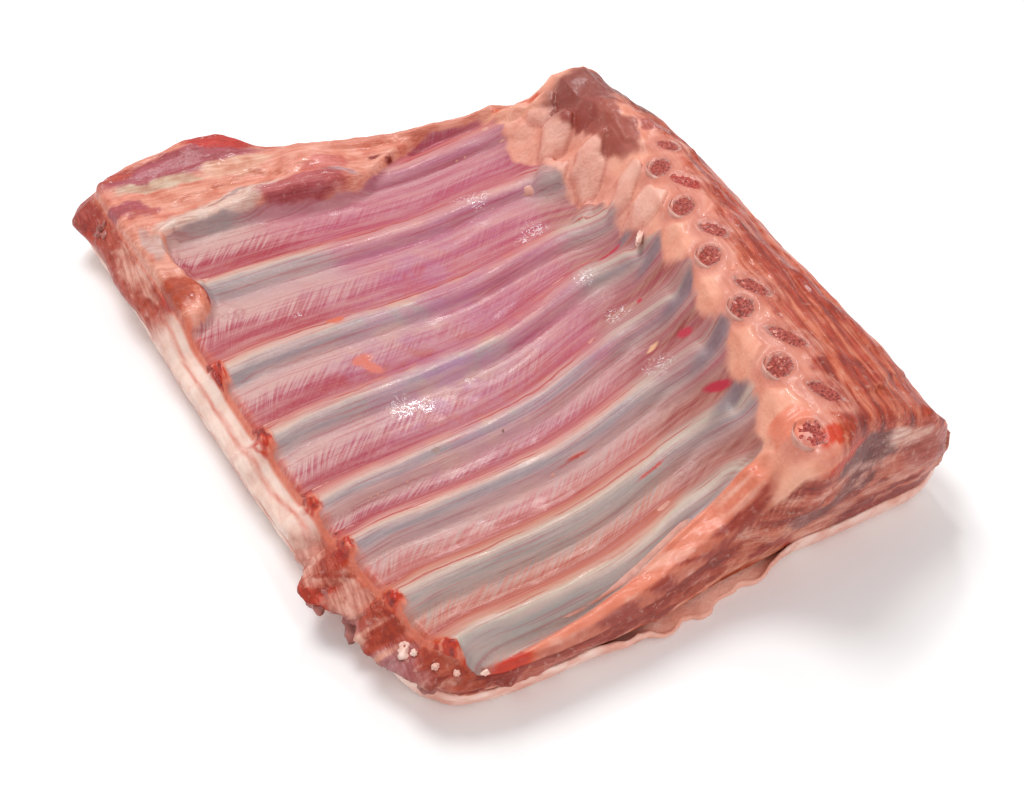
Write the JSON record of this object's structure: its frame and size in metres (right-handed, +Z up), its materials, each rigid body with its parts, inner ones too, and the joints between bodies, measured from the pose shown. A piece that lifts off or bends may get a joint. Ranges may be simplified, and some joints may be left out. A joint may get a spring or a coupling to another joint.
{
  "type": "raw lamb rib rack",
  "caption": "Raw rack of lamb ribs lying on its fat side, bones bedded in a hollow of meat, with the sawn backbone edge raised along one side.",
  "frame": {"origin": "on the flat underside of the fat cover, below the hollow of the rack", "axes": "+Z up, out of the bone side; +Y along the backbone, from the near end to the end with the piece of midriff; +X along the ribs, from their sawn ends to the loin"},
  "size_m": [0.2255, 0.2489, 0.0538],
  "materials": {
    "meat": "moist raw lamb under a thin shiny membrane, dark between the ribs",
    "fat_cover": "firm creamy pink fat, satin",
    "rib_bone": "flat rib bone under a pale grey membrane, spongy red at the sawn end",
    "chine_bone": "sawn backbone, porous red marrow in a pale rim"
  },
  "bodies": {
    "root": {"rib_1": "rib_bone", "rib_2": "rib_bone", "rib_3": "rib_bone", "rib_4": "rib_bone", "rib_5": "rib_bone", "rib_6": "rib_bone", "rib_7": "rib_bone", "rib_8": "rib_bone", "chine_bone_1": "chine_bone", "chine_bone_2": "chine_bone", "chine_bone_3": "chine_bone", "chine_bone_4": "chine_bone", "chine_bone_5": "chine_bone", "chine_bone_6": "chine_bone", "meat": "meat", "fat_cover": "fat_cover"}
  },
  "joints": []
}
